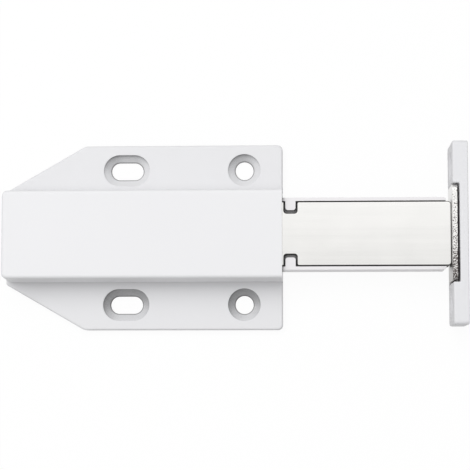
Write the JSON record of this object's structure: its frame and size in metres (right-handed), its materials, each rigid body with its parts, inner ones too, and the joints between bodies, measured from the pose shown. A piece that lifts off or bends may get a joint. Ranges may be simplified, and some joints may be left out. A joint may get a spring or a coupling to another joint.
{
  "type": "magnetic push-to-open cupboard latch",
  "caption": "Screw-on housing with a spring-loaded magnetic plunger, shown fully out, and the screw-on keeper that clings to its end.",
  "frame": {"origin": "on the mounting face, midway between the two round screw holes beside the mouth", "axes": "+X out of the mouth along the plunger's travel, +Y across the flange, +Z away from the mounting face"},
  "size_m": [0.1086, 0.044, 0.0138],
  "materials": {
    "white_plastic": "satin white moulding",
    "carrier_plastic": "satin white moulding",
    "plated_steel": "bright nickel plate",
    "ferrite": "ground black ferrite",
    "spring_steel": "drawn wire",
    "sheared_steel": "nickel plate, sheared edges"
  },
  "bodies": {
    "housing": {"housing": "white_plastic", "back_cover": "white_plastic", "return_spring": "spring_steel"},
    "plunger": {"plunger_carrier": "carrier_plastic", "upper_pole_plate": "plated_steel", "lower_pole_plate": "plated_steel", "magnet": "ferrite", "keeper_body": "white_plastic", "armature_plate": "sheared_steel"},
    "link": {"follower_link": "spring_steel"}
  },
  "joints": [
    {"name": "plunger_slide", "type": "slide", "parent": "housing", "child": "plunger", "axis": [1, 0, 0], "range_m": [-0.0382, 0], "stiffness_N_per_m": 60, "springref_m": 0.01, "deforming": ["return_spring"]},
    {"name": "link_pivot", "type": "hinge", "parent": "plunger", "child": "link", "pos_m": [0.0011, 0, 0.0026], "axis": [0, 0, 1], "range_deg": [-8.9, 0]}
  ],
  "couplings": [
    {"joint": "link_pivot", "follows": "plunger_slide", "rad_per_m": 4.03}
  ]
}
